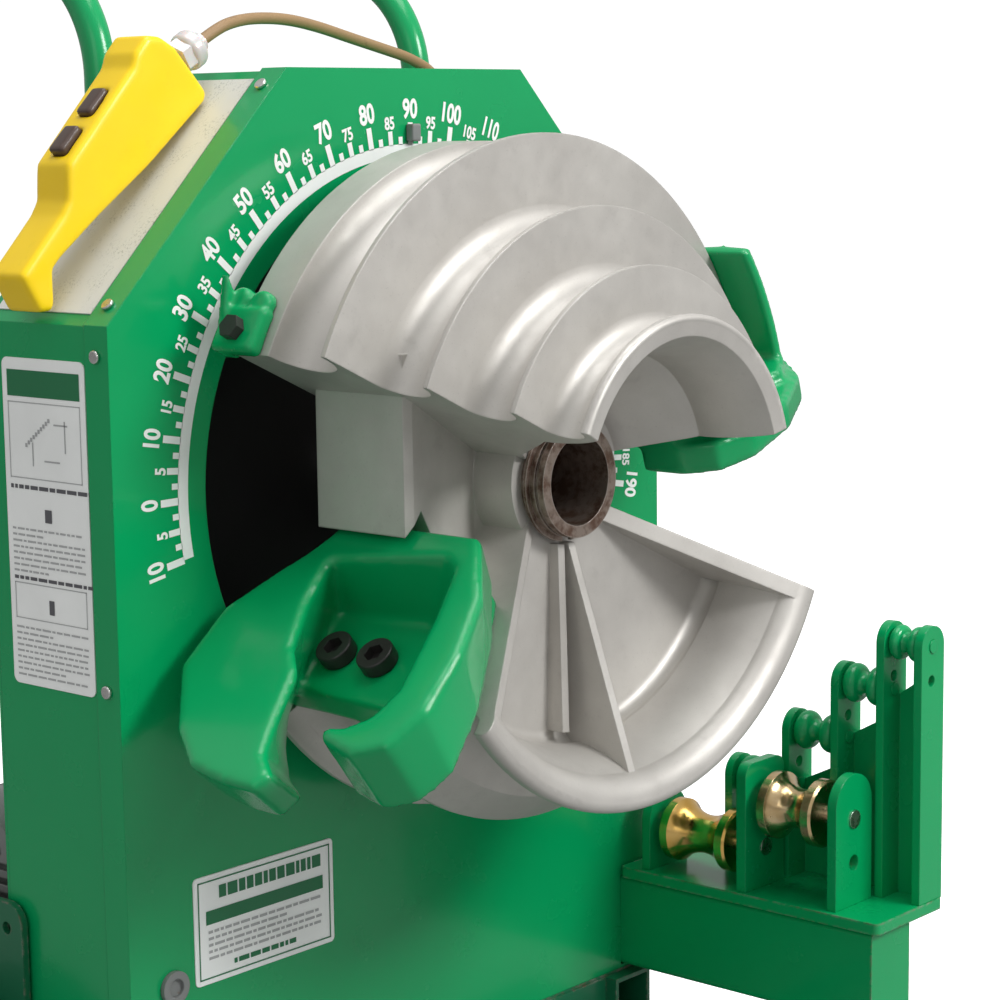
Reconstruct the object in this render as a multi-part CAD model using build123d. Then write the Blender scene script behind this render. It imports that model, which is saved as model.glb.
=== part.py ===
from build123d import *
import os
from math import acos, atan2, ceil, cos, degrees, hypot, pi, radians, sin, sqrt, tan

# Electric shaft-driven conduit bender: a floor-standing housing on wheels, a two-sided bending
# shoe on a hollow shaft, a follower-roller unit on a side arm and a hand-held pendant.
# Shapes are drawn about the shaft axis (x right, y back, z up, zero on the housing's front
# face) and moved once, at export, to a frame that stands on the floor.

# ---- driving dimensions, mm ----
SHAFT_HEIGHT = 650.0       # shaft axis above the floor
HOUSING_HALF_WIDTH = 322.5
HOUSING_TOP = 320.0
HOUSING_BOTTOM = -500.0
CHAMFER_START_Z = 134.5
TOP_HALF_WIDTH = 137.0
HOUSING_DEPTH = 143.0
SHEET = 2.5                # steel sheet
COVER_FLANGE = 26.0        # the front cover's return flange
DIAL_OPENING_R = 232.0
PAN_DEPTH = 55.0

SHAFT_R = 44.5
SHAFT_BORE_R = 35.0
SHAFT_FRONT_Y = -174.0
SHAFT_REAR_Y = 144.0
RUNNING_GAP = 0.05
BEARING_R = 72.0

SHOE_LAND = 2.0            # half the width of the flat crest between two grooves
UPPER_START, UPPER_END = 155.0, 16.0       # angles, from +x, counter-clockwise seen from the front
LOWER_START, LOWER_END = -27.0, -141.5
RIM_Y = (-76.0, -139.0, -191.0, -238.0, -276.0)
RIM_R = (262.0, 268.0, 213.0, 169.0, 133.5)
HUB_R = 56.0
SHOE_BACK_Y = -42.0
POINTER_ANGLE = 151.5
HOOK_A_BOLTS = (98.0, 140.0)          # forward of the face
HOOK_B_BOLTS = (100.0, 150.0)

SPROCKET_TEETH, PINION_TEETH = 60, 15
CHAIN_PITCH = 19.05
SPROCKET_Y = (84.0, 94.0)
PINION_X, PINION_Z = 60.0, -330.0

ARM_X = (265.0, 325.0)
ARM_Z = (-497.0, -412.0)
ARM_FRONT_Y = -273.0
ARM_WALL = 6.0
ROLLER_PLATE_TOP = -402.0
GREEN_AXIS_X = 347.0
GREEN_HALF_WIDTH = 18.0
GREEN_AXIS_Z = (-318.0, -267.0, -217.0, -175.0)
GREEN_PLATE_T = 8.0
BRASS_AXIS_X = 297.0
BRASS_AXIS_Z = (-366.0, -325.0)
BRASS_PLATE_Y = (-27.0, -135.5, -229.0)
PIN_R = 6.0

DECK = 2.4                 # base plate under the housing
RAIL = 50.0
RAIL_X = 265.0
RAIL_Y = (-130.0, 330.0)
TOE_END_Y = -14.0           # ahead of this the rails are only a thin toe plate
TOE_T = 8.0
WHEEL_R, WHEEL_WIDTH = 127.0, 56.0
WHEEL_Y = 190.0
WHEEL_X = 366.0
AXLE_R = 12.7
CASTER_Y = -85.0
CASTER_R = 37.5
CASTER_TRAIL = 24.0

HANDLE_X, HANDLE_Y, HANDLE_R = 183.0, 163.0, 12.7
HANDLE_RISE = 310.0
HANDLE_BEND = 105.0
HANDLE_REACH = 263.0
HANDLE_FOOT = 132.0

PENDANT_Y = 62.0
PENDANT_THICKNESS = 40.0
GLAND_ROOT = (100.693, 33.671)
GLAND_LEAN, GLAND_LENGTH = 15.0, 38.0
CORD_D = 9.5
COIL_TURN_D = 105.0
COIL_CENTRE = (110.0, 240.0)
BOX_TOP = 118.0
GLAND_X, GLAND_Z, GLAND_TIP_Y = 48.0, 134.0, 168.0

# The frame's origin is on the floor, under the middle of the whole machine.
UNIT_FRONT_Y = -281.0
HANDLE_BACK_Y = HANDLE_Y + HANDLE_REACH + HANDLE_R
PLACE = Pos(0, -(UNIT_FRONT_Y + HANDLE_BACK_Y) / 2, SHAFT_HEIGHT)


# ---- helpers ----
def block(x0, x1, y0, y1, z0, z1):
    """A box between two corners."""
    centre = Pos((x0 + x1) / 2, (y0 + y1) / 2, (z0 + z1) / 2)
    return centre * Box(abs(x1 - x0), abs(y1 - y0), abs(z1 - z0))


def rod_x(r, x0, x1, y, z):
    return Pos((x0 + x1) / 2, y, z) * Rot(0, 90, 0) * Cylinder(r, abs(x1 - x0))


def rod_y(r, y0, y1, x=0.0, z=0.0):
    return Pos(x, (y0 + y1) / 2, z) * Rot(90, 0, 0) * Cylinder(r, abs(y1 - y0))


def rod_z(r, z0, z1, x, y):
    return Pos(x, y, (z0 + z1) / 2) * Cylinder(r, abs(z1 - z0))


def ring_y(r_out, r_in, y0, y1, x=0.0, z=0.0):
    return rod_y(r_out, y0, y1, x, z) - rod_y(r_in, y0 - 1, y1 + 1, x, z)


def prism_y(points, y0, y1):
    """An outline in x and z, extruded along y."""
    outline = make_face(Polyline(*[(x, y0, z) for x, z in points], close=True))
    return extrude(outline, amount=y1 - y0, dir=(0, 1, 0))


def prism_x(points, x0, x1):
    """An outline in y and z, extruded along x."""
    outline = make_face(Polyline(*[(x0, y, z) for y, z in points], close=True))
    return extrude(outline, amount=x1 - x0, dir=(1, 0, 0))


def prism_z(points, z0, z1):
    """An outline in x and y, extruded upwards."""
    outline = make_face(Polyline(*[(x, y, z0) for x, y in points], close=True))
    return extrude(outline, amount=z1 - z0, dir=(0, 0, 1))


def polar(radius, angle, y=0.0):
    return (radius * cos(radians(angle)), y, radius * sin(radians(angle)))


def at_angle(r, y, angle):
    """A point of a radial section, r from the shaft, turned to the angle."""
    return Vector(*polar(r, angle, y))


def section(points, angle):
    """A radial section: (r, y) corners, where ("arc", mid, end) bulges through mid."""
    edges = []
    here = points[0]
    for step in points[1:] + [points[0]]:
        if step[0] == "arc":
            mid, end = step[1], step[2]
            edges.append(ThreePointArc(at_angle(*here, angle), at_angle(*mid, angle), at_angle(*end, angle)))
            here = end
        else:
            edges.append(Line(at_angle(*here, angle), at_angle(*step, angle)))
            here = step
    return make_face(Wire(edges))


def swept_section(points, start, end):
    """A radial section revolved clockwise, seen from the front, from start to end."""
    return revolve(section(points, start), axis=Axis.Y, revolution_arc=start - end)


def radial_plate(points, angle, thickness):
    """A flat plate in a radial plane, thickened towards smaller angles."""
    along = Vector(sin(radians(angle)), 0, -cos(radians(angle)))
    return extrude(section(points, angle), amount=thickness, dir=tuple(along))


def hook_plane(angle):
    """x outwards from the shaft, y towards the front, z away from the shoe's leading end."""
    a = radians(angle)
    return Plane(origin=(0, 0, 0), x_dir=(cos(a), 0, sin(a)), z_dir=(sin(a), 0, -cos(a)))


def on_plane(plane, points, low, high):
    """An outline in a plane's own coordinates, extruded between two heights over it."""
    lifted = Plane(origin=plane.from_local_coords((0, 0, low)), x_dir=plane.x_dir, z_dir=plane.z_dir)
    outline = lifted * make_face(Polyline(*points, close=True))
    return extrude(outline, amount=high - low, dir=tuple(plane.z_dir))


def soften(solid, edges, radius):
    """Fillet the edges, or leave them sharp where that radius doesn't fit."""
    try:
        return fillet(edges, radius)
    except Exception:
        return solid


def housing_outline(inset):
    """The octagon-topped outline of the housing, moved inwards."""
    w, corner = HOUSING_HALF_WIDTH - inset, inset * tan(radians(22.5))
    low, high = HOUSING_BOTTOM + inset, HOUSING_TOP - inset
    side, top = CHAMFER_START_Z - corner, TOP_HALF_WIDTH - corner
    return [(-w, low), (-w, side), (-top, high), (top, high), (w, side), (w, low)]


# ---- housing ----
def make_housing_shell():
    shell = prism_y(housing_outline(SHEET), SHEET + 0.5, HOUSING_DEPTH)
    shell -= prism_y(housing_outline(2 * SHEET), 0, HOUSING_DEPTH + 1)
    lip = prism_y(housing_outline(2 * SHEET), HOUSING_DEPTH - SHEET, HOUSING_DEPTH)
    lip -= prism_y(housing_outline(22.0), HOUSING_DEPTH - 10, HOUSING_DEPTH + 1)
    shell = shell + lip
    arm_hole = block(ARM_X[0] - 1, ARM_X[1] + 1, -1, HOUSING_DEPTH - 20, ARM_Z[0] - 1, ARM_Z[1] + 1)
    return shell - arm_hole


def make_front_cover():
    face = prism_y(housing_outline(0), 0, SHEET)
    flange = prism_y(housing_outline(0), 0, COVER_FLANGE) - prism_y(housing_outline(SHEET), SHEET, COVER_FLANGE + 1)
    cover = face + flange - rod_y(DIAL_OPENING_R, -1, SHEET + 1)
    arm_hole = block(ARM_X[0], HOUSING_HALF_WIDTH + 5, -1, COVER_FLANGE + 1, ARM_Z[0], ARM_Z[1])
    return cover - arm_hole


def make_rear_cover():
    cover = prism_y(housing_outline(SHEET), HOUSING_DEPTH, HOUSING_DEPTH + 3)
    cover -= rod_y(BEARING_R - 14, HOUSING_DEPTH - 1, HOUSING_DEPTH + 4)
    return cover - rod_y(34.0, HOUSING_DEPTH - 1, HOUSING_DEPTH + 4, PINION_X, PINION_Z)


def make_recess_pan():
    pan = rod_y(DIAL_OPENING_R + 1.5, SHEET, PAN_DEPTH) - rod_y(DIAL_OPENING_R - 1.0, 0, PAN_DEPTH - 3)
    rim = ring_y(DIAL_OPENING_R + 20, DIAL_OPENING_R - 1.0, SHEET, SHEET + 2)
    return pan + rim - rod_y(BEARING_R - 14, 0, PAN_DEPTH + 1)


def make_cover_screws():
    """Pan-head screws through the flange, into the shell."""
    heads = []
    for side in (-1, 1):
        for z in (112.0, -136.0, -400.0):
            outer = side * HOUSING_HALF_WIDTH
            if side > 0 and z < -300:
                z = -330.0
            heads.append(soften_head(rod_x(5.0, outer, outer + side * 3.2, 13.0, z)))
    middle_x = (HOUSING_HALF_WIDTH + TOP_HALF_WIDTH) / 2
    middle_z = (CHAMFER_START_Z + HOUSING_TOP) / 2
    for side in (-1, 1):
        for along in (-112.0, 112.0):
            x = side * (middle_x - along / sqrt(2))
            z = middle_z + along / sqrt(2)
            tilt = Pos(x, 13.0, z) * Rot(0, side * 45, 0)
            heads.append(soften_head(tilt * Pos(0, 0, 1.6) * Cylinder(5.0, 3.2)))
    return heads


def soften_head(head):
    return soften(head, head.edges().filter_by(GeomType.CIRCLE), 1.2)


def chamfer_plane(y):
    """On the left chamfer: x up the slope, y out of it, origin at the slope's middle."""
    middle_x = (HOUSING_HALF_WIDTH + TOP_HALF_WIDTH) / 2
    middle_z = (CHAMFER_START_Z + HOUSING_TOP) / 2
    half = sqrt(0.5)
    return Plane(origin=(-middle_x, y, middle_z), x_dir=(half, 0, half), z_dir=(0, -1, 0))


def make_chart_plate():
    plane = chamfer_plane(29.0)
    outline = [(-119, -SHEET), (121, -SHEET), (121, 1.0 - SHEET), (-119, 1.0 - SHEET)]
    return on_plane(plane, outline, -109.0, 0.0)


def rounded_label(width, height, thickness, radius):
    plate = Box(width, thickness, height)
    return fillet(plate.edges().filter_by(Axis.Y), radius)


def make_side_label():
    outer = -(HOUSING_HALF_WIDTH - SHEET)
    plate = Rot(0, 0, 90) * rounded_label(96.0, 250.0, 1.0, 6.0)
    return Pos(outer - 0.5, 77.0, -18.0) * plate


def make_front_label():
    return Pos(-183.0, -0.5, -335.0) * rounded_label(150.0, 86.0, 1.0, 4.0)


def make_dial_peg():
    """The small stop the scale is zeroed with, at the middle of the arc."""
    peg = block(-5, 5, -8, 0, 262, 276)
    return soften(peg, peg.edges(), 1.5)


def make_drain_boss():
    boss = rod_y(13.0, -4.0, 0.0, -280.0, -371.0) - rod_y(7.0, -5.0, -1.0, -280.0, -371.0)
    return boss


# ---- drive ----
def make_bearing(y0, y1):
    """A flanged bearing with a running fit on the shaft."""
    body = rod_y(BEARING_R - 14.5, y0, y1) + rod_y(BEARING_R + 8, y1 - 10, y1)
    for k in range(4):
        x, _, z = polar(BEARING_R, 45 + 90 * k)
        body -= rod_y(4.5, y1 - 12, y1 + 1, x, z)
    return body - rod_y(SHAFT_R + RUNNING_GAP, y0 - 1, y1 + 1)


def make_main_shaft():
    shaft = ring_y(SHAFT_R, SHAFT_BORE_R, SHAFT_FRONT_Y, SHAFT_REAR_Y)
    for y in (-168.0, -160.0):
        shaft -= ring_y(SHAFT_R + 1, SHAFT_R - 2.0, y, y + 3.0)
    keyway = block(-6, 6, -140, -60, SHAFT_R - 6, SHAFT_R + 1)
    return shaft - keyway


def make_shaft_key():
    return block(-6, 6, -140, -60, SHAFT_R - 6, SHAFT_R + 4)


def make_retaining_ring():
    ring = ring_y(SHAFT_R + 4.0, SHAFT_R - 2.0, -160.0, -157.0)
    return ring - block(-5, 5, -161, -156, -60, -30)


def pitch_radius(teeth):
    return CHAIN_PITCH / (2 * sin(pi / teeth))


def make_sprocket(teeth, y0, y1, bore, x=0.0, z=0.0):
    """A roller-chain sprocket with plain tapered teeth, one of them on +x."""
    root, tip = pitch_radius(teeth) - 6.0, pitch_radius(teeth) + 4.5
    step = 360.0 / teeth
    points = []
    for k in range(teeth):
        for radius, part in ((root, -0.34), (tip, -0.10), (tip, 0.10), (root, 0.34)):
            px, _, pz = polar(radius, (k + part) * step)
            points.append((x + px, z + pz))
    return prism_y(points, y0, y1) - rod_y(bore, y0 - 1, y1 + 1, x, z)


def belt_outline(offset):
    """The two pitch circles and their outer tangents, moved outwards, as (x, z) corners."""
    big, small = pitch_radius(SPROCKET_TEETH) + offset, pitch_radius(PINION_TEETH) + offset
    distance = hypot(PINION_X, PINION_Z)
    heading = degrees(atan2(PINION_Z, PINION_X))
    spread = degrees(acos((big - small) / distance))
    corners = []
    for k in range(61):
        angle = heading + spread + (360 - 2 * spread) * k / 60
        px, _, pz = polar(big, angle)
        corners.append((px, pz))
    for k in range(21):
        angle = heading - spread + 2 * spread * k / 20
        px, _, pz = polar(small, angle)
        corners.append((PINION_X + px, PINION_Z + pz))
    return corners


def make_drive_chain():
    """The chain's two rows of link plates, one each side of the teeth."""
    rows = []
    for y0 in (SPROCKET_Y[0] - 3.6, SPROCKET_Y[1] + 0.6):
        rows.append(prism_y(belt_outline(7.0), y0, y0 + 3.0) - prism_y(belt_outline(-7.0), y0 - 1, y0 + 4))
    return rows


def make_sprocket_hub():
    return ring_y(66.0, SHAFT_R, SPROCKET_Y[1], SPROCKET_Y[1] + 22)


def make_pinion_shaft():
    return rod_y(15.0, SPROCKET_Y[0] - 6, 178.0, PINION_X, PINION_Z)


def make_gearbox():
    """Cast right-angle gearbox, bolted to the rear cover."""
    case = block(-40, 160, 160, 290, -415, -245)
    case = soften(case, case.edges(), 14.0)
    nose = rod_y(52.0, HOUSING_DEPTH + 3, 165, PINION_X, PINION_Z)
    flange = block(-30, 150, HOUSING_DEPTH + 3, HOUSING_DEPTH + 15, -410, -250)
    bore = rod_y(15.0 + RUNNING_GAP, HOUSING_DEPTH, 178.5, PINION_X, PINION_Z)
    return case + nose + flange - bore


def make_motor():
    """Electric motor with a finned frame, on the gearbox's left face."""
    frame = rod_x(66.0, -270, -52, 225, -330)
    for k in range(24):
        angle = 360.0 * k / 24
        y, _, z = polar(66.0, angle)
        fin = Pos(-155, 225 + y * 1.05, -330 + z * 1.05) * Rot(angle, 0, 0) * Box(170, 12, 3)
        frame += fin
    return frame + rod_x(74.0, -52, -40, 225, -330)


def make_fan_cowl():
    cowl = rod_x(73.0, -298, -244, 225, -330) - rod_x(71.0, -296, -243, 225, -330)
    slots = Pos(0, 0, 0) * block(-299, -295, 224, 226, -331, -329)
    for k in range(-4, 5):
        reach = sqrt(56.0 ** 2 - (k * 12.0) ** 2)
        slots += block(-299, -295, 225 - reach, 225 + reach, -330 + k * 12 - 3, -330 + k * 12 + 3)
    cowl -= slots
    return cowl


def make_control_box():
    box = block(35, 260, HOUSING_DEPTH + 3, 318, -70, BOX_TOP)
    return soften(box, box.edges().filter_by(Axis.Y), 6.0)


def make_power_inlet():
    """A recessed three-pin inlet in the box's right face, with its hinged-lid collar."""
    collar = rod_x(30.0, 260, 276, 235, -10) - rod_x(24.0, 264, 277, 235, -10)
    for k in range(3):
        y, _, z = polar(11.0, 90 + 120 * k)
        collar += rod_x(3.0, 262, 274, 235 + y, -10 + z)
    return collar


def make_cord_gland():
    """Compression gland on the rear cover, where the pendant's cord goes in."""
    x, z = GLAND_X, GLAND_Z
    y = HOUSING_DEPTH + 3
    nut = extrude(Plane(origin=(x, y, z), z_dir=(0, 1, 0)) * RegularPolygon(13.0, 6), amount=10)
    return nut + rod_y(9.5, y + 10, GLAND_TIP_Y, x, z)


# ---- shoe ----
def groove(front, back, depth):
    """Section steps across one groove, from its back crest to its front crest."""
    (y_front, r_front), y_back = front, back
    start = (r_front, y_back - SHOE_LAND)
    end = (r_front, y_front + SHOE_LAND)
    return [start, ("arc", (r_front - depth, (y_back + y_front) / 2), end)]


def upper_section():
    """The stepped outer form of the four-groove half, down to its hollow front bowl."""
    points = [(HUB_R - 8, SHOE_BACK_Y), (RIM_R[0], SHOE_BACK_Y), (RIM_R[0], RIM_Y[0] - SHOE_LAND)]
    bottom = RIM_R[0] - 30.0
    first_end = (RIM_R[0], RIM_Y[1] + SHOE_LAND)
    points.append(("arc", (bottom, (RIM_Y[0] + RIM_Y[1]) / 2), first_end))
    points += [(RIM_R[1], RIM_Y[1] + SHOE_LAND), (RIM_R[1], RIM_Y[1] - SHOE_LAND)]
    for k in (2, 3, 4):
        width = RIM_Y[k - 1] - RIM_Y[k] - 2 * SHOE_LAND
        points += groove((RIM_Y[k], RIM_R[k]), RIM_Y[k - 1], width / 2)
        if k < 4:
            points.append((RIM_R[k], RIM_Y[k] - SHOE_LAND))
    points += [(RIM_R[4], -277), ("arc", (131.5, -280.0), (128, -280)), (117, -278)]
    points += [("arc", (106.0, -252.0), (102.0, -216.0)), (95, -208), (60, -162), (HUB_R - 8, -156)]
    return points


def upper_cavity():
    return [(74, -38), (246, -38), (246, -70), (221, -88), (221, -127), (178, -127),
            (178, -180), (137, -180), (137, -214), (116, -214), (100, -150), (94, -140), (74, -140)]


def lower_section():
    """The two-groove half: a deep groove, a sloped step, a second groove and a round rim."""
    return [(HUB_R - 8, -49), (272, -49), (272, -55), ("arc", (233.5, -93.5), (271, -132)),
            (271, -137), (248, -165), ("arc", (217, -200), (249, -234)), (249, -238),
            ("arc", (246.5, -243.5), (240, -245)), ("arc", (228.0, -240.0), (221, -228)),
            ("arc", (210.0, -203.0), (205, -178)), ("arc", (203.5, -168.0), (196, -164)),
            (HUB_R - 8, -152)]


def lower_cavity():
    return [(74, -45), (256, -45), (256, -58), (220, -72), (220, -118), (204, -138), (184, -148), (74, -139)]


def floor_rib(start, end, top_start, top_end, thickness):
    """A tapering rib that stands on the lower bowl's floor, from the hub outwards."""
    (x0, z0), (x1, z1) = start, end
    length = hypot(x1 - x0, z1 - z0)
    across = (-(z1 - z0) / length * thickness / 2, (x1 - x0) / length * thickness / 2)
    a = Vector(x0 - across[0], -148, z0 - across[1])
    side = [Vector(0, 0, 0), Vector(x1 - x0, 0, z1 - z0)]
    low = [a + side[0], a + side[1]]
    high = [low[1] + Vector(0, top_end + 148, 0), low[0] + Vector(0, top_start + 148, 0)]
    face = make_face(Polyline(low[0], low[1], high[0], high[1], close=True))
    return extrude(face, amount=thickness, dir=(across[0], 0, across[1]))


def make_shoe():
    wall = 5.0
    upper = swept_section(upper_section(), UPPER_START, UPPER_END)
    upper -= swept_section(upper_cavity(), UPPER_START - wall, UPPER_END + wall)
    lower = swept_section(lower_section(), LOWER_START, LOWER_END)
    lower -= swept_section(lower_cavity(), LOWER_START - wall, LOWER_END + wall)
    hub = rod_y(HUB_R, -152, -49)
    # the slanting web between the halves, closed on the left by a flat wall
    web = prism_z([(-170, -57), (-170, -147), (-160, -147), (-55, -112), (-30, -112), (-30, -57)], -120, 110)
    web -= on_plane(hook_plane(LOWER_END), [(121, 0), (121, 320), (400, 320), (400, 0)], -1.0, 86.0)
    # straight-topped walls that close the lower bowl at both cut ends
    end_wall = [(46, -140), (46, -152), (236, -244), (243, -243), (212, -190), (190, -150)]
    left_wall = radial_plate(end_wall, LOWER_END, -9.0)
    right_wall = radial_plate(end_wall, LOWER_START, 13.0)
    ribs = floor_rib((-8, -50), (-27, -194), -161, -180, 8.0)
    ribs += floor_rib((4, -50), (-8, -224), -161, -231, 8.0)
    shoe = upper + lower + hub + web + left_wall + right_wall + ribs
    shoe -= rod_y(SHAFT_R + 0.02, -300, 0)
    shoe -= block(-6.05, 6.05, -140, -48, SHAFT_R - 4, SHAFT_R + 4)
    for angle, outward, depths in ((LOWER_END, 222.0, HOOK_A_BOLTS), (UPPER_END, 160.0, HOOK_B_BOLTS)):
        plane = hook_plane(angle)
        for d in depths:
            shoe -= plane * Pos(outward, d, -28) * Cylinder(10.0, 60)
    return shoe


# Hook A's outline, out from the shaft and forward of the face: at its mouth, then at its floor.
HOOK_A_MOUTH = [(150, 66), (171, 55), (192, 39), (232, 14), (292, 16), (346, 58), (374, 94), (381, 132),
                (382, 166), (368, 173), (350, 153), (318, 143), (276, 132), (256, 110), (213, 92), (172, 84),
                (156, 190), (164, 204), (212, 217), (278, 228), (303, 221), (316, 203), (319, 186), (328, 190),
                (338, 226), (326, 252), (292, 264), (240, 260), (188, 246), (133, 207), (132, 70)]
HOOK_A_FLOOR = [(140, 50), (165, 44), (190, 34), (232, 16), (290, 18), (336, 48), (358, 84), (364, 118),
                (364, 146), (344, 150), (334, 130), (308, 104), (284, 86), (254, 76), (216, 68), (184, 66),
                (184, 160), (198, 176), (232, 200), (268, 222), (294, 222), (312, 208), (317, 190), (332, 194),
                (340, 228), (328, 252), (300, 264), (246, 250), (186, 222), (130, 184), (126, 70)]
HOOK_A_PLATE = [(126, 56), (190, 36), (256, 50), (262, 175), (250, 214), (190, 208), (130, 178)]


def make_hook_a():
    """Open tray that is bolted to the lower half, with two curved fingers."""
    plane = hook_plane(LOWER_END)
    levels = []
    for outline, height in ((HOOK_A_FLOOR, 22.0), (HOOK_A_MOUTH, 80.0)):
        lifted = Plane(origin=plane.from_local_coords((0, 0, height)), x_dir=plane.x_dir, z_dir=plane.z_dir)
        levels.append(lifted * make_face(Polyline(*outline, close=True)))
    walls = loft(levels, ruled=True)
    top = walls.edges().filter_by(lambda e: abs(plane.to_local_coords(e.center()).Z - 80) < 0.5)
    walls = soften(walls, top, 4.0)
    floor = on_plane(plane, HOOK_A_PLATE, 0.4, 28)
    hook = walls + floor
    for d in HOOK_A_BOLTS:
        hook -= plane * Pos(222, d, 20) * Cylinder(10.5, 60)
    return hook


HOOK_B_CUP = [(104, 150), (118, 150), (132, 196), (150, 212), (182, 212), (226, 196), (262, 172), (284, 138),
              (304, 112), (322, 122), (304, 160), (272, 196), (214, 222), (152, 230), (118, 218), (104, 190)]


def make_hook_b():
    """The smaller hook on the leading end of the four-groove half."""
    plane = hook_plane(UPPER_END)
    floor = on_plane(plane, [(104, 72), (210, 72), (214, 150), (186, 206), (140, 210), (104, 184)], 0.4, 16)
    cup = on_plane(plane, HOOK_B_CUP, 12, 38)
    cup = soften(cup, cup.edges().filter_by(lambda e: abs(plane.to_local_coords(e.center()).Z - 38) < 0.5), 3.0)
    band = [(269, -124), (269, -178), (279, -178), (281, -150), (279, -124)]
    strap = swept_section(band, 38.0, UPPER_END - 2)
    foot = on_plane(plane, [(204, 118), (279, 124), (281, 150), (279, 178), (250, 196), (206, 180)], 0.4, 16)
    hook = floor + cup + strap + foot
    for d in HOOK_B_BOLTS:
        hook -= plane * Pos(160, d, 10) * Cylinder(10.5, 60)
    return hook


def socket_bolt(plane, outward, d, seat, length):
    """A socket-head cap screw whose head sits on the hook's floor."""
    head = plane * Pos(outward, d, seat + 6) * Cylinder(15.0, 12)
    head = soften(head, head.edges().filter_by(GeomType.CIRCLE), 1.5)
    socket = extrude(plane * Pos(outward, d, seat + 4) * RegularPolygon(8.0, 6), amount=12)
    shank = plane * Pos(outward, d, seat - length / 2) * Cylinder(9.95, length)
    return head - socket + shank


def make_hook_bolts(angle, outward, depths, seat, length):
    plane = hook_plane(angle)
    return [socket_bolt(plane, outward, d, seat, length) for d in depths]


def pointer_plane():
    """On the shoe's back cylinder near its trailing end: x towards the front, z outwards."""
    angle = radians(POINTER_ANGLE)
    return Plane(origin=polar(RIM_R[0], POINTER_ANGLE, -48), x_dir=(0, -1, 0), z_dir=(cos(angle), 0, sin(angle)))


def make_pointer():
    """Cast bracket on the four-groove half, with two lobes and a blade over the scale."""
    plane = pointer_plane()
    body = plane * Pos(0, 0, 2) * Box(44, 36, 20)
    body = soften(body, body.edges(), 4.0)
    for across, reach in ((-12.0, 24.0), (10.0, 22.0)):
        lobe = plane * Pos(across, reach, 1) * Cylinder(10.5, 17)
        body += soften(lobe, lobe.edges().filter_by(GeomType.CIRCLE), 4.0)
    tip = polar(288, 144)
    root_a, root_b = polar(270, 153), polar(244, 150)
    blade = prism_y([(tip[0], tip[2]), (root_a[0], root_a[2]), (root_b[0], root_b[2])], -33, -26)
    return body - rod_y(RIM_R[0] + 0.02, -80, SHOE_BACK_Y + 0.02) + blade


def make_pointer_bolt():
    head = extrude(pointer_plane() * Pos(0, -2, 12) * RegularPolygon(9.5, 6), amount=8)
    return head


# ---- roller arm ----
def make_support_arm():
    outer = block(ARM_X[0], ARM_X[1], ARM_FRONT_Y, 112, ARM_Z[0], ARM_Z[1])
    outer = soften(outer, outer.edges().filter_by(Axis.Y), 6.0)
    inner = block(ARM_X[0] + ARM_WALL, ARM_X[1] - ARM_WALL, ARM_FRONT_Y + ARM_WALL, 113,
                  ARM_Z[0] + ARM_WALL, ARM_Z[1] - ARM_WALL)
    return outer - soften(inner, inner.edges().filter_by(Axis.Y), 3.0)


def make_roller_base():
    plate = block(262, 366, UNIT_FRONT_Y, -2, ARM_Z[1], ROLLER_PLATE_TOP)
    return soften(plate, plate.edges().filter_by(Axis.Z), 5.0)


def upright(x, half_width, y, thickness, top_axis_z):
    """A plate across y with a round top about an axis."""
    body = block(x - half_width, x + half_width, y - thickness / 2, y + thickness / 2, ROLLER_PLATE_TOP, top_axis_z)
    return body + rod_y(half_width, y - thickness / 2, y + thickness / 2, x, top_axis_z)


def green_axes():
    """Each roller's x, z and its two side plates' y."""
    return [(GREEN_AXIS_X, GREEN_AXIS_Z[k], RIM_Y[k], RIM_Y[k + 1]) for k in range(4)]


def make_green_uprights():
    tops = GREEN_AXIS_Z + (GREEN_AXIS_Z[3],)
    plates = []
    for y, top in zip(RIM_Y, tops):
        plate = upright(GREEN_AXIS_X, GREEN_HALF_WIDTH, y, GREEN_PLATE_T, top)
        for x, z, y_back, y_front in green_axes():
            if y in (y_back, y_front):
                plate -= rod_y(PIN_R, y - 10, y + 10, x, z)
        plates.append(plate - rod_y(5.0, y - 10, y + 10, GREEN_AXIS_X - 2, top - 30))
    return plates


def make_spine_plates():
    """Gussets between neighbouring uprights, with sloping top edges."""
    gussets = []
    for k in range(4):
        y_back, y_front = RIM_Y[k] - GREEN_PLATE_T / 2, RIM_Y[k + 1] + GREEN_PLATE_T / 2
        low = GREEN_AXIS_Z[k] - 48
        points = [(y_back, ROLLER_PLATE_TOP), (y_front, ROLLER_PLATE_TOP), (y_front, low + 22), (y_back, low)]
        gussets.append(prism_x(points, GREEN_AXIS_X + 8, GREEN_AXIS_X + 16))
    return gussets


def make_green_pins():
    pins = []
    for x, z, y_back, y_front in green_axes():
        pins.append(rod_y(PIN_R, y_front - GREEN_PLATE_T / 2 - 1, y_back + GREEN_PLATE_T / 2 + 1, x, z))
    return pins


def make_spool(x, z, y0, y1, ball_r, waist_r):
    """A turned roller with a ball at each end of a waist, and a running fit on its pin."""
    low, high = min(y0, y1), max(y0, y1)
    middle, lip = (low + high) / 2, min(19.0, 0.37 * (high - low))
    bore, edge = PIN_R + RUNNING_GAP, ball_r - 6.0
    wire = [Line((bore, low, 0), (edge, low, 0)),
            ThreePointArc((edge, low, 0), (ball_r, low + lip / 2, 0), (edge, low + lip, 0)),
            ThreePointArc((edge, low + lip, 0), (waist_r, middle, 0), (edge, high - lip, 0)),
            ThreePointArc((edge, high - lip, 0), (ball_r, high - lip / 2, 0), (edge, high, 0)),
            Line((edge, high, 0), (bore, high, 0)), Line((bore, high, 0), (bore, low, 0))]
    return Pos(x, 0, z) * revolve(make_face(Wire(wire)), axis=Axis.Y, revolution_arc=360)


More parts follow.
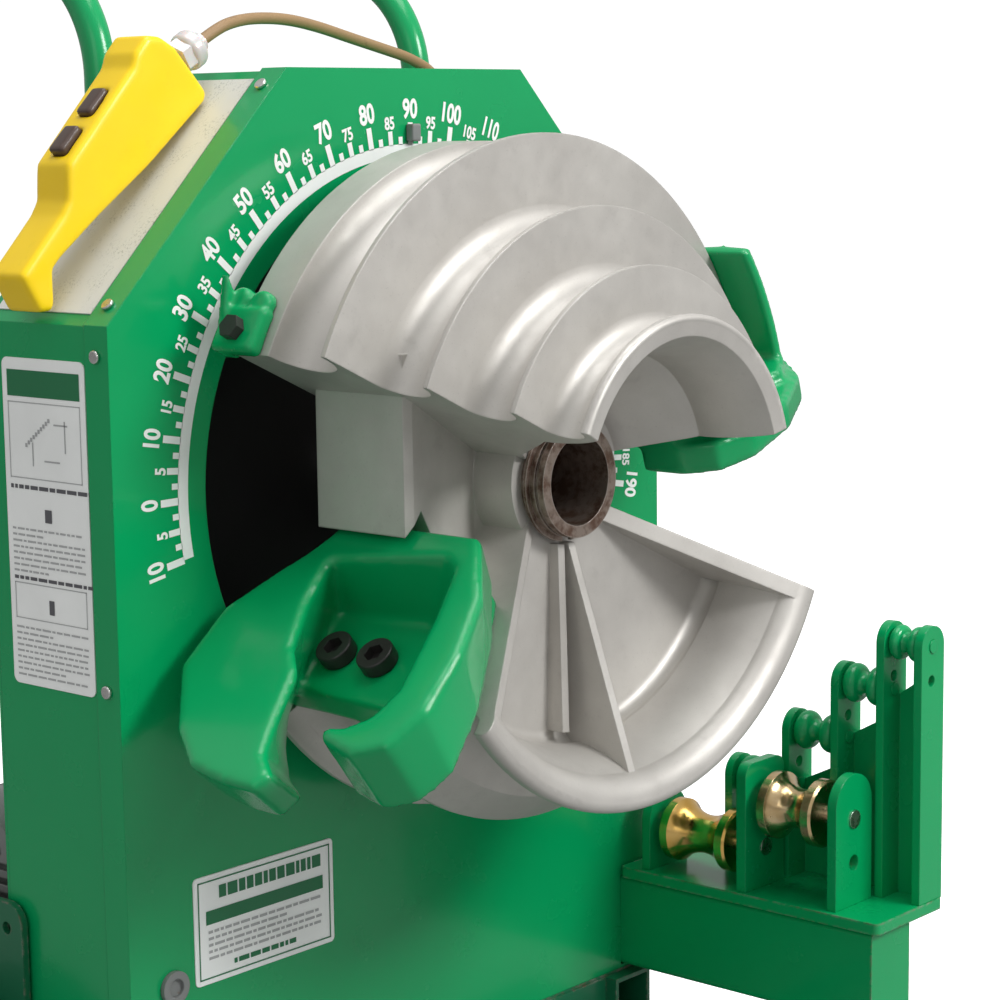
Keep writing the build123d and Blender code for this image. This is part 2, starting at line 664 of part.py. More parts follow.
def make_green_roller(k):
    x, z, y_back, y_front = green_axes()[k]
    gap = GREEN_PLATE_T / 2 + 0.8
    return make_spool(x, z, y_front + gap, y_back - gap, (17.5, 17.5, 17.5, 15.5)[k], 8.5)


def make_brass_uprights():
    p0 = upright(BRASS_AXIS_X, 28.0, BRASS_PLATE_Y[0], 9.0, BRASS_AXIS_Z[0] + 8)
    p1 = block(266, 325, BRASS_PLATE_Y[1] - 5, BRASS_PLATE_Y[1] + 5, ROLLER_PLATE_TOP, -286)
    p1 = soften(p1, p1.edges().filter_by(Axis.Y).sort_by(Axis.Z)[-2:], 12.0)
    p2 = upright(BRASS_AXIS_X, 28.0, BRASS_PLATE_Y[2], 9.0, BRASS_AXIS_Z[1] + 12)
    plates = []
    for plate, y in ((p0, BRASS_PLATE_Y[0]), (p1, BRASS_PLATE_Y[1]), (p2, BRASS_PLATE_Y[2])):
        if y in BRASS_PLATE_Y[:2]:
            plate -= rod_y(8.0, y - 10, y + 10, BRASS_AXIS_X, BRASS_AXIS_Z[0])
        if y in BRASS_PLATE_Y[1:]:
            plate -= rod_y(8.0, y - 10, y + 10, BRASS_AXIS_X, BRASS_AXIS_Z[1])
        plates.append(plate)
    plates[2] = plates[2] - rod_y(7.0, -250, -210, BRASS_AXIS_X, -364.0)
    return plates


def make_brass_pins():
    pins = []
    for k in range(2):
        y_back, y_front = BRASS_PLATE_Y[k], BRASS_PLATE_Y[k + 1]
        pins.append(rod_y(8.0, y_front - 6.0, y_back + 6.0, BRASS_AXIS_X, BRASS_AXIS_Z[k]))
    return pins


def make_brass_spacers():
    spacers = []
    for k in range(2):
        y_back = BRASS_PLATE_Y[k] - 5.0
        spacers.append(ring_y(12.0, 8.0, y_back - 8.0, y_back, BRASS_AXIS_X, BRASS_AXIS_Z[k]))
    return spacers


def make_brass_roller(k):
    x, z = BRASS_AXIS_X, BRASS_AXIS_Z[k]
    y_back, y_front = BRASS_PLATE_Y[k] - 13.5, BRASS_PLATE_Y[k + 1] + 22.0
    flange = (28.5, 30.0)[k]
    middle, half = (y_back + y_front) / 2, (y_back - y_front) / 2
    bore = 8.0 + RUNNING_GAP
    lip = 10.0
    low, high = middle - half, middle + half
    wire = [Line((bore, low, 0), (flange - 2, low, 0)), Line((flange - 2, low, 0), (flange, low + 2, 0)),
            Line((flange, low + 2, 0), (flange, low + lip, 0)),
            ThreePointArc((flange, low + lip, 0), (17.5, middle, 0), (flange, high - lip, 0)),
            Line((flange, high - lip, 0), (flange, high - 2, 0)), Line((flange, high - 2, 0), (flange - 2, high, 0)),
            Line((flange - 2, high, 0), (bore, high, 0)), Line((bore, high, 0), (bore, low, 0))]
    return Pos(x, 0, z) * revolve(make_face(Wire(wire)), axis=Axis.Y, revolution_arc=360)


# ---- undercarriage ----
def make_side_rail(side):
    """Square tube under one side of the housing, bored for the axle."""
    x = side * RAIL_X
    top = HOUSING_BOTTOM - DECK
    rail = block(x - RAIL / 2, x + RAIL / 2, RAIL_Y[0], RAIL_Y[1], top - RAIL, top)
    rail -= block(x - RAIL / 2 + 4, x + RAIL / 2 - 4, TOE_END_Y - 1, RAIL_Y[1] + 1, top - RAIL + 4, top - 4)
    rail -= block(x - 40, x + 40, RAIL_Y[0] - 1, TOE_END_Y, top - RAIL + TOE_T, top + 1)
    return rail - rod_x(AXLE_R, x - 40, x + 40, WHEEL_Y, -SHAFT_HEIGHT + WHEEL_R)


def make_cross_members():
    inner = RAIL_X - RAIL / 2
    top = HOUSING_BOTTOM - DECK
    toe = block(-inner, inner, RAIL_Y[0] + 3, RAIL_Y[0] + 47, top - RAIL, top - RAIL + TOE_T)
    members = [toe]
    for y in (20.0, RAIL_Y[1] - 25):
        bar = block(-inner, inner, y - 22, y + 22, top - RAIL, top)
        members.append(bar - block(-inner - 1, inner + 1, y - 18, y + 18, top - RAIL + 4, top - 4))
    return members


def make_base_plate():
    return block(-HOUSING_HALF_WIDTH + 6, HOUSING_HALF_WIDTH - 6, 0, 330, HOUSING_BOTTOM - DECK, HOUSING_BOTTOM)


def make_side_bracket(side):
    """Plate on the housing wall that carries the outer end of the axle."""
    x = side * (HOUSING_HALF_WIDTH + 0.4)
    plate = block(x, x + side * 6, 119, 300, -560, -319)
    plate = fillet(plate.edges().filter_by(Axis.X).sort_by(Axis.Z)[-2:], 18.0)
    plate -= rod_x(AXLE_R, x - 10, x + 10, WHEEL_Y, -SHAFT_HEIGHT + WHEEL_R)
    return plate - rod_x(5.0, x - 10, x + 10, 138.0, -340.0)


def make_axle():
    reach = WHEEL_X + WHEEL_WIDTH / 2 + 8
    z = -SHAFT_HEIGHT + WHEEL_R
    axle = rod_x(AXLE_R, -reach, reach, WHEEL_Y, z)
    return axle


def make_axle_caps():
    caps = []
    z = -SHAFT_HEIGHT + WHEEL_R
    for side in (-1, 1):
        inner = side * (WHEEL_X + WHEEL_WIDTH / 2 + 2)
        cap = rod_x(19.0, inner, inner + side * 4, WHEEL_Y, z) - rod_x(AXLE_R, inner - 9, inner + 9, WHEEL_Y, z)
        caps.append(cap)
    return caps


def make_tyre(side):
    """Solid rubber tyre with a rounded tread and a groove either side of its middle."""
    x = side * WHEEL_X
    half = WHEEL_WIDTH / 2
    z = -SHAFT_HEIGHT + WHEEL_R
    tyre = rod_x(WHEEL_R, x - half, x + half, WHEEL_Y, z)
    tyre = soften(tyre, tyre.edges().filter_by(GeomType.CIRCLE), 12.0)
    for offset in (-9.0, 9.0):
        band = rod_x(WHEEL_R + 5, x + offset - 1.5, x + offset + 1.5, WHEEL_Y, z)
        tyre -= band - rod_x(WHEEL_R - 3, x + offset - 2, x + offset + 2, WHEEL_Y, z)
    return tyre - rod_x(88.0, x - half - 1, x + half + 1, WHEEL_Y, z)


def make_wheel_hub(side):
    """Steel wheel disc with a rim, five holes and a bearing barrel on the axle."""
    x = side * WHEEL_X
    z = -SHAFT_HEIGHT + WHEEL_R
    hub = rod_x(88.0, x - 24, x + 24, WHEEL_Y, z) - rod_x(83.0, x - 25, x + 25, WHEEL_Y, z)
    hub += rod_x(84.0, x - 3, x + 3, WHEEL_Y, z) + rod_x(26.0, x - 27, x + 27, WHEEL_Y, z)
    for k in range(5):
        y, _, dz = polar(56.0, 90 + 72 * k)
        hub -= rod_x(14.0, x - 10, x + 10, WHEEL_Y + y, z + dz)
    return hub - rod_x(AXLE_R + RUNNING_GAP, x - 40, x + 40, WHEEL_Y, z)


def caster_top():
    return HOUSING_BOTTOM - DECK - RAIL


def make_caster_plates():
    plates = []
    for side in (-1, 1):
        x = side * RAIL_X
        top = caster_top()
        plate = block(x - 34, x + 34, CASTER_Y - 34, CASTER_Y + 34, top - 5, top)
        plates.append(plate + rod_z(7.0, top - 18, top - 5, x, CASTER_Y))
    return plates


def make_caster_fork(side):
    """The swivelling fork, turned so that the wheel trails behind the pivot."""
    x = side * RAIL_X
    top = caster_top() - 5.5
    floor = -SHAFT_HEIGHT
    axis_y, axis_z = CASTER_Y + CASTER_TRAIL, floor + CASTER_R
    crown = rod_z(24.0, top - 12, top, x, CASTER_Y) + block(x - 19, x + 19, CASTER_Y - 10, axis_y + 12, top - 14, top - 9)
    fork = crown
    for s in (-1, 1):
        leg = prism_x([(CASTER_Y - 10, top - 10), (axis_y + 12, top - 10), (axis_y + 11, axis_z - 8),
                       (axis_y - 9, axis_z - 10)], x + s * 19 - 1.5, x + s * 19 + 1.5)
        fork += leg
    fork += rod_x(5.0, x - 22, x + 22, axis_y, axis_z)
    return fork - rod_z(7.0 + RUNNING_GAP, top - 40, top + 1, x, CASTER_Y)


def make_caster_wheel(side):
    x = side * RAIL_X
    axis_y, axis_z = CASTER_Y + CASTER_TRAIL, -SHAFT_HEIGHT + CASTER_R
    wheel = rod_x(CASTER_R, x - 15, x + 15, axis_y, axis_z)
    wheel = soften(wheel, wheel.edges().filter_by(GeomType.CIRCLE), 4.0)
    return wheel - rod_x(5.0 + RUNNING_GAP, x - 30, x + 30, axis_y, axis_z)


def make_push_handle():
    """One bent tube: two uprights behind the housing and a grip bar across."""
    top = HANDLE_RISE + HANDLE_BEND
    back = HANDLE_Y + HANDLE_REACH
    route = [(-HANDLE_X, HANDLE_Y, HANDLE_FOOT), (-HANDLE_X, HANDLE_Y, top), (-HANDLE_X, back, top),
             (HANDLE_X, back, top), (HANDLE_X, HANDLE_Y, top), (HANDLE_X, HANDLE_Y, HANDLE_FOOT)]
    path = FilletPolyline(*route, radius=HANDLE_BEND - 5)
    return sweep(Plane(origin=route[0], z_dir=(0, 0, 1)) * Circle(HANDLE_R), path=path)


def make_handle_clamps():
    """Blocks on the rear cover that grip the two uprights, above and below."""
    clamps = []
    for side in (-1, 1):
        for z in (160.0, 262.0):
            x = side * HANDLE_X
            edge = x + side * 17
            clamp = block(x - side * 30, edge, HOUSING_DEPTH + 3, HANDLE_Y + 17, z - 14, z + 14)
            clamps.append(clamp - rod_z(HANDLE_R, z - 20, z + 20, x, HANDLE_Y))
    return clamps


# ---- pendant ----
PENDANT_OUTLINE = [(102, 5), (96, 0.6), (20, 8), (-40, 18), (-88, 24), (-100, 24), (-108, 16), (-119, 5), (-124, 4.5),
                   (-132, 12), (-124, 43), (-66, 45), (-54, 48),
                   (-34, 66), (62, 70), (72, 75), (90, 76),
                   (99, 66), (104, 50)]


def make_pendant_shells():
    """The two moulded halves of the pendant, split in the middle of its thickness."""
    plane = chamfer_plane(PENDANT_Y)
    body = on_plane(plane, PENDANT_OUTLINE, -PENDANT_THICKNESS, 0)
    rims = body.edges().filter_by(lambda e: e.length > 1.0 and abs(e.center().Y - PENDANT_Y) < 0.1)
    body = soften(body, rims, 4.0)
    rims = body.edges().filter_by(lambda e: abs(e.center().Y - PENDANT_Y - PENDANT_THICKNESS) < 0.1)
    body = soften(body, rims, 4.0)
    for along in (-12.0, 27.0):
        body -= on_plane(plane, button_pocket(along, 0.4), -28.4, -11.6)
    body -= on_plane(plane, [(78.5, 66.5), (81.5, 66.5), (81.5, 69.5), (78.5, 69.5)], -50, 10)
    body -= gland_plane() * Cylinder(7.95, 22)
    half = PENDANT_Y + PENDANT_THICKNESS / 2
    return body & block(-500, 0, -100, half, 0, 500), body & block(-500, 0, half, 300, 0, 500)


def button_pocket(along, grow):
    return [(along - 13 - grow, 52), (along + 13 + grow, 53), (along + 13 + grow, 80), (along - 13 - grow, 80)]


def make_pendant_button(along):
    plane = chamfer_plane(PENDANT_Y)
    low, high = 57.0, 72.5
    outline = [(along - 13, low), (along + 13, low), (along + 13, high), (along - 13, high)]
    button = on_plane(plane, outline, -28, -12)
    return soften(button, button.edges(), 2.5)


def gland_plane():
    """At the head's end wall, z along the gland, which leans a little towards the housing."""
    plane = chamfer_plane(PENDANT_Y + PENDANT_THICKNESS / 2)
    origin = plane.from_local_coords((GLAND_ROOT[0], GLAND_ROOT[1], 0))
    lean = radians(45 - GLAND_LEAN)
    return Plane(origin=origin, z_dir=(cos(lean), 0, sin(lean)))


def make_pendant_gland():
    """Translucent compression gland on the head's end."""
    plane = gland_plane()
    neck = plane * Pos(0, 0, 2) * Cylinder(7.9, 14)
    nut = extrude(plane * Pos(0, 0, 8) * RegularPolygon(14.5, 6), amount=10)
    dome = plane * Pos(0, 0, 24.5) * Cylinder(15.5, 15)
    dome = soften(dome, dome.edges().filter_by(GeomType.CIRCLE), 5.0)
    return neck + nut + dome + plane * Pos(0, 0, (30 + GLAND_LENGTH) / 2) * Cylinder(8.0, GLAND_LENGTH - 30)


def cord_start():
    return gland_plane().from_local_coords((0.0, 0.0, GLAND_LENGTH))


# The pendant cord's hand-set route, from the gland over the housing and down behind it.
CORD_ROUTE = [(-132.5, 82, 351), (-112, 85, 357.5), (-80, 93, 361.5), (-34, 104, 362.0), (12, 114, 357), (58, 123, 349),
              (105, 131, 341), (150, 138, 333), (190, 146, 320), (216, 158, 296), (228, 172, 262),
              (230, 188, 228), (230, 210, 196), (226, 238, 168), (214, 268, 149), (190, 292, 138),
              (157, 302, 133), (122, 302, 132.25)]
COIL_LAYERS = 2
COIL_PER_LAYER = 3


def fillet_radii(points):
    """Each corner's arc, as large as its two runs allow."""
    radii = []
    for before, corner, after in zip(points, points[1:], points[2:]):
        first, second = Vector(*corner) - Vector(*before), Vector(*after) - Vector(*corner)
        turn = radians(first.get_angle(second))
        radii.append(0.45 * min(first.length, second.length) / tan(turn / 2))
    return radii


def make_cord_tube(points, name):
    radii = fillet_radii(points)
    print(name, "radii", [round(r, 1) for r in radii])
    path = FilletPolyline(*points, radius=radii) if len(points) > 2 else Line(*points)
    start, towards = Vector(*points[0]), Vector(*points[1]) - Vector(*points[0])
    tube = sweep(Plane(origin=start, z_dir=towards.normalized()) * Circle(CORD_D / 2), path=path)
    print(name, "length", round(path.length, 1), "volume ratio", round(tube.volume / (path.length * pi * CORD_D ** 2 / 4), 4))
    return tube


# The short way from the coil's lowest turn into the gland.
TAIL_ROUTE = [(GLAND_X, 228, 122.75), (GLAND_X, 208, 123.5), (GLAND_X, 188, 130.0), (GLAND_X, GLAND_TIP_Y, GLAND_Z)]


def coil_radii():
    spread = CORD_D * COIL_PER_LAYER
    return COIL_TURN_D / 2 - spread / 2, COIL_TURN_D / 2 + spread / 2


def make_pendant_cord():
    start = cord_start()
    return make_cord_tube([tuple(start)] + CORD_ROUTE, "pendant_cord")


def make_cord_tail():
    return make_cord_tube(TAIL_ROUTE, "pendant_cord_tail")


def make_cord_coil():
    inner, outer = coil_radii()
    x, y = COIL_CENTRE
    top = BOX_TOP + COIL_LAYERS * CORD_D
    return rod_z(outer, BOX_TOP, top, x, y) - rod_z(inner, BOX_TOP - 1, top + 1, x, y)


def make_all():
    """Every node's name and its solid or solids."""
    front_shell, rear_shell = make_pendant_shells()
    nodes = {
        "housing_shell": make_housing_shell(),
        "front_cover": make_front_cover(),
        "rear_cover": make_rear_cover(),
        "recess_pan": make_recess_pan(),
        "cover_screws": make_cover_screws(),
        "chart_plate": make_chart_plate(),
        "instruction_labels": [make_side_label(), make_front_label()],
        "face_fittings": [make_dial_peg(), make_drain_boss()],
        "shaft_bearings": [make_bearing(38.0, 65.0), make_bearing(122.0, HOUSING_DEPTH)],
        "main_shaft": make_main_shaft(),
        "shaft_key": make_shaft_key(),
        "retaining_ring": make_retaining_ring(),
        "drive_sprocket": make_sprocket(SPROCKET_TEETH, *SPROCKET_Y, SHAFT_R) + make_sprocket_hub(),
        "drive_chain": make_drive_chain(),
        "drive_pinion": make_sprocket(PINION_TEETH, *SPROCKET_Y, 12.0, PINION_X, PINION_Z) + make_pinion_shaft(),
        "gearbox": make_gearbox(),
        "motor": make_motor(),
        "fan_cowl": make_fan_cowl(),
        "control_box": make_control_box(),
        "power_inlet": make_power_inlet(),
        "cord_gland": make_cord_gland(),
        "bending_shoe": make_shoe(),
        "hook_a": make_hook_a(),
        "hook_b": make_hook_b(),
        "shoe_bolts": make_hook_bolts(LOWER_END, 222.0, HOOK_A_BOLTS, 28.0, 70.0)
        + make_hook_bolts(UPPER_END, 160.0, HOOK_B_BOLTS, 16.0, 60.0) + [make_pointer_bolt()],
        "pointer_bracket": make_pointer(),
        "support_arm": make_support_arm(),
        "roller_base": make_roller_base(),
        "green_uprights": make_green_uprights() + make_spine_plates(),
        "green_pins": make_green_pins(),
        "brass_uprights": make_brass_uprights(),
        "brass_pins": make_brass_pins() + make_brass_spacers(),
        "base_frame": [make_side_rail(-1), make_side_rail(1), make_base_plate()] + make_cross_members(),
        "side_brackets": [make_side_bracket(-1), make_side_bracket(1)],
        "axle": [make_axle()] + make_axle_caps(),
        "caster_plates": make_caster_plates(),
        "push_handle": make_push_handle(),
        "handle_clamps": make_handle_clamps(),
        "pendant_front_shell": front_shell,
        "pendant_rear_shell": rear_shell,
        "pendant_gland": make_pendant_gland(),
        "bend_button": make_pendant_button(27.0),
        "unload_button": make_pendant_button(-12.0),
        "pendant_cord": make_pendant_cord(),
        "pendant_cord_coil": make_cord_coil(),
        "pendant_cord_tail": make_cord_tail(),
    }
    for k in range(4):
        nodes[f"green_roller_{k + 1}"] = make_green_roller(k)
    for k in range(2):
        nodes[f"brass_roller_{k + 1}"] = make_brass_roller(k)
    for side, word in ((-1, "left"), (1, "right")):
        nodes[f"{word}_tyre"] = make_tyre(side)
        nodes[f"{word}_wheel_hub"] = make_wheel_hub(side)
        nodes[f"{word}_caster_fork"] = make_caster_fork(side)
        nodes[f"{word}_caster_wheel"] = make_caster_wheel(side)
    return nodes


if __name__ == "__main__":
    os.makedirs("parts", exist_ok=True)
    for name, shape in make_all().items():
        solids = shape if isinstance(shape, list) else [shape]
        export_step(PLACE * Compound(children=solids), f"parts/{name}.step")
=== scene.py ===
import random
from math import atan2, cos, pi, radians, sin, sqrt

import bmesh
import bpy
from mathutils import Matrix, Vector


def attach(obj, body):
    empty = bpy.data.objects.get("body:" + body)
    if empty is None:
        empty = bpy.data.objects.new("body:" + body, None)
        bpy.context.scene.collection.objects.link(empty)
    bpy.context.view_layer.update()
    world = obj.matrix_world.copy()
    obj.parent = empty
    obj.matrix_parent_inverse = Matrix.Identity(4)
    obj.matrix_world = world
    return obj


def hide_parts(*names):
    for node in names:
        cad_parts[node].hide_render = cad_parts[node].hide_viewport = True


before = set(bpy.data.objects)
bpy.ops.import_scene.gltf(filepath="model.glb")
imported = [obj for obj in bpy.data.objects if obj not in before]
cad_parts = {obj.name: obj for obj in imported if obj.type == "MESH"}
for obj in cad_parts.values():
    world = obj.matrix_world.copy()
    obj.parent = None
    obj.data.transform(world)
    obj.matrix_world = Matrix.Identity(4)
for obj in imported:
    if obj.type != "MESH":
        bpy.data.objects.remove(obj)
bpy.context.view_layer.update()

# Sizes below are in millimetres from the shaft's axis at the housing's face, as in the CAD.
FACE_Y = -78.85
SHAFT_Z = 650.0
CORD_D = 0.0095


def at(x, y, z):
    return Vector((x, y + FACE_Y, z + SHAFT_Z)) / 1000


def node(name):
    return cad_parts[name]


# ---- camera ----
def make_camera():
    data = bpy.data.cameras.new("camera")
    data.sensor_width = 36.0
    data.lens = 91.7
    data.clip_end = 60.0
    camera = bpy.data.objects.new("camera", data)
    bpy.context.scene.collection.objects.link(camera)
    yaw, pitch, roll = 0.85058, 0.146935, 0.0135097
    ahead = Vector((sin(yaw) * cos(pitch), cos(yaw) * cos(pitch), -sin(pitch)))
    level = ahead.cross(Vector((0, 0, 1))).normalized()
    up = level.cross(ahead)
    right = level * cos(roll) - up * sin(roll)
    up = right.cross(ahead)
    turn = Matrix((right, up, -ahead)).transposed().to_4x4()
    camera.matrix_world = Matrix.Translation(at(-1512.6, -1418.3, 275.6)) @ turn
    bpy.context.scene.camera = camera
    return camera


make_camera()


# ---- materials ----
class Nodes:
    """A short way to write a node tree."""

    def __init__(self, name):
        self.material = bpy.data.materials.new(name)
        self.material.use_nodes = True
        self.tree = self.material.node_tree
        self.shader = self.tree.nodes["Principled BSDF"]
        self.coords = self.add("ShaderNodeTexCoord").outputs["Object"]

    def add(self, kind, **sockets):
        made = self.tree.nodes.new(kind)
        for key, value in sockets.items():
            self.put(made.inputs[key.replace("_", " ")], value)
        return made

    def put(self, socket, value):
        if isinstance(value, bpy.types.NodeSocket):
            self.tree.links.new(value, socket)
        else:
            socket.default_value = value

    def noise(self, scale, detail=3.0, roughness=0.5, vector=None):
        made = self.add("ShaderNodeTexNoise", Vector=vector or self.coords, Scale=scale, Detail=detail,
                        Roughness=roughness)
        return made.outputs["Fac"]

    def remap(self, value, low, high, to_low=0.0, to_high=1.0):
        made = self.add("ShaderNodeMapRange", Value=value)
        made.inputs["From Min"].default_value = low
        made.inputs["From Max"].default_value = high
        made.inputs["To Min"].default_value = to_low
        made.inputs["To Max"].default_value = to_high
        return made.outputs["Result"]

    def math(self, operation, a, b):
        made = self.tree.nodes.new("ShaderNodeMath")
        made.operation = operation
        made.use_clamp = True
        self.put(made.inputs[0], a)
        self.put(made.inputs[1], b)
        return made.outputs[0]

    def mix(self, factor, a, b):
        made = self.tree.nodes.new("ShaderNodeMix")
        made.data_type = "RGBA"
        self.put(made.inputs["Factor"], factor)
        self.put(made.inputs["A"], a if isinstance(a, bpy.types.NodeSocket) else (*a, 1.0))
        self.put(made.inputs["B"], b if isinstance(b, bpy.types.NodeSocket) else (*b, 1.0))
        return made.outputs["Result"]

    def edges(self, radius):
        """1 at a convex edge, 0 on a flat."""
        bevel = self.tree.nodes.new("ShaderNodeBevel")
        bevel.samples = 4
        bevel.inputs["Radius"].default_value = radius
        geometry = self.tree.nodes.new("ShaderNodeNewGeometry")
        dot = self.tree.nodes.new("ShaderNodeVectorMath")
        dot.operation = "DOT_PRODUCT"
        self.put(dot.inputs[0], bevel.outputs["Normal"])
        self.put(dot.inputs[1], geometry.outputs["Normal"])
        return self.remap(dot.outputs["Value"], 0.985, 0.80)

    def finish(self, colour, roughness, heights=(), bevel=0.0008, **sockets):
        self.put(self.shader.inputs["Base Color"], colour)
        self.put(self.shader.inputs["Roughness"], roughness)
        for key, value in sockets.items():
            self.shader.inputs[key.replace("_", " ")].default_value = value
        rounded = self.tree.nodes.new("ShaderNodeBevel")
        rounded.samples = 4
        rounded.inputs["Radius"].default_value = bevel
        normal = rounded.outputs["Normal"]
        for height, strength, distance in heights:
            bump = self.add("ShaderNodeBump", Height=height, Strength=strength, Distance=distance)
            self.put(bump.inputs["Normal"], normal)
            normal = bump.outputs["Normal"]
        self.put(self.shader.inputs["Normal"], normal)
        return self.material


def enamel(name, colour, wear=0.0, roughness=0.24, bevel=0.0015):
    """Gloss sprayed enamel: orange peel, faint uneven gloss, and chips to primer and steel at edges."""
    n = Nodes(name)
    shade = n.remap(n.noise(5.0, 3), 0.3, 0.7)
    paint = n.mix(shade, [c * 0.93 for c in colour], [min(1.0, c * 1.05) for c in colour])
    gloss = n.remap(n.noise(22.0, 4), 0.3, 0.7, roughness - 0.04, roughness + 0.05)
    if wear:
        chips = n.math("MULTIPLY", n.edges(0.004), n.remap(n.noise(130.0, 6, 0.7), 0.60 - 0.25 * wear, 0.62))
        bare = n.mix(n.remap(n.noise(60.0, 4), 0.4, 0.6), (0.30, 0.27, 0.25), (0.16, 0.09, 0.055))
        paint = n.mix(chips, paint, bare)
        gloss = n.math("ADD", gloss, n.math("MULTIPLY", chips, 0.3))
    peel = n.noise(420.0, 2)
    ripple = n.noise(16.0, 2)
    return n.finish(paint, gloss, [(ripple, 0.25, 0.0012), (peel, 0.06, 0.0004)], bevel=bevel, Metallic=0.0,
                    Coat_Weight=0.18, Coat_Roughness=0.10, Specular_IOR_Level=0.35)


def cast(name, low, high, roughness=0.46, metallic=0.55, grain=1.0, bevel=0.0015):
    """Blasted cast aluminium: mottled, sandy, with darker pores and smoother high spots."""
    n = Nodes(name)
    cloud = n.remap(n.noise(9.0, 5, 0.6), 0.32, 0.68)
    colour = n.mix(cloud, low, high)
    stain = n.remap(n.noise(34.0, 6, 0.65), 0.60, 0.78)
    colour = n.mix(n.math("MULTIPLY", stain, 0.35), colour, [c * 0.72 for c in low])
    pores = n.remap(n.noise(520.0, 3, 0.6), 0.62, 0.75)
    colour = n.mix(n.math("MULTIPLY", pores, 0.25), colour, [c * 0.55 for c in low])
    gloss = n.remap(n.noise(60.0, 4), 0.3, 0.7, roughness - 0.05, roughness + 0.07)
    sand = n.noise(700.0, 4, 0.65)
    wave = n.noise(28.0, 3)
    return n.finish(colour, gloss, [(wave, 0.25, 0.0010), (sand, 0.22 * grain, 0.0003)], bevel=bevel,
                    Metallic=metallic)


def metal(name, low, high, roughness=0.3, turned=None, bevel=0.0006):
    """Machined metal; turned gives the axis that its tool marks run round."""
    n = Nodes(name)
    colour = n.mix(n.remap(n.noise(48.0, 5, 0.6), 0.35, 0.65), low, high)
    gloss = n.remap(n.noise(90.0, 4), 0.3, 0.7, roughness - 0.07, roughness + 0.09)
    heights = [(n.noise(300.0, 3), 0.08, 0.0003)]
    if turned is not None:
        split = n.add("ShaderNodeSeparateXYZ", Vector=n.coords)
        joined = n.add("ShaderNodeCombineXYZ")
        n.put(joined.inputs[turned], split.outputs[turned])
        lines = n.noise(2600.0, 2, vector=joined.outputs["Vector"])
        heights.append((lines, 0.12, 0.0002))
    return n.finish(colour, gloss, heights, bevel=bevel, Metallic=1.0)


def rusty(name):
    """Bare steel of the shaft's end: brown oxide over worn grey."""
    n = Nodes(name)
    patches = n.remap(n.noise(70.0, 6, 0.65), 0.42, 0.60)
    colour = n.mix(patches, (0.31, 0.25, 0.21), (0.115, 0.066, 0.045))
    colour = n.mix(n.math("MULTIPLY", n.edges(0.002), 0.7), colour, (0.50, 0.45, 0.41))
    gloss = n.math("ADD", 0.34, n.math("MULTIPLY", patches, 0.25))
    return n.finish(colour, gloss, [(n.noise(380.0, 5, 0.6), 0.25, 0.0003)], bevel=0.0007, Metallic=0.75)


def plastic(name, colour, roughness=0.35, grime=0.15, coat=0.0, grain=0.10, subsurface=0.0):
    """Moulded plastic or rubber with a fine texture and handling dirt."""
    n = Nodes(name)
    shade = n.remap(n.noise(14.0, 3), 0.3, 0.7)
    base = n.mix(shade, [c * 0.95 for c in colour], [min(1, c * 1.04) for c in colour])
    dirt = n.remap(n.noise(75.0, 6, 0.7), 0.60, 0.74)
    base = n.mix(n.math("MULTIPLY", dirt, grime), base, [c * 0.45 for c in colour])
    gloss = n.remap(n.noise(40.0, 4), 0.3, 0.7, roughness - 0.05, roughness + 0.07)
    heights = [(n.noise(30.0, 2), 0.2, 0.0008), (n.noise(900.0, 2), grain, 0.0002)]
    return n.finish(base, gloss, heights, bevel=0.0009, Coat_Weight=coat, Coat_Roughness=0.12,
                    Subsurface_Weight=subsurface, Subsurface_Scale=0.01)


def speckled(name, ground, ink):
    """A printed chart plate: fine rows of ink specks on a pale ground."""
    n = Nodes(name)
    specks = n.remap(n.noise(420.0, 6, 0.8), 0.53, 0.60)
    patches = n.remap(n.noise(38.0, 2), 0.44, 0.56)
    colour = n.mix(n.math("MULTIPLY", specks, patches), ground, ink)
    return n.finish(colour, 0.42, [(n.noise(30.0, 2), 0.1, 0.0006)], bevel=0.0006)


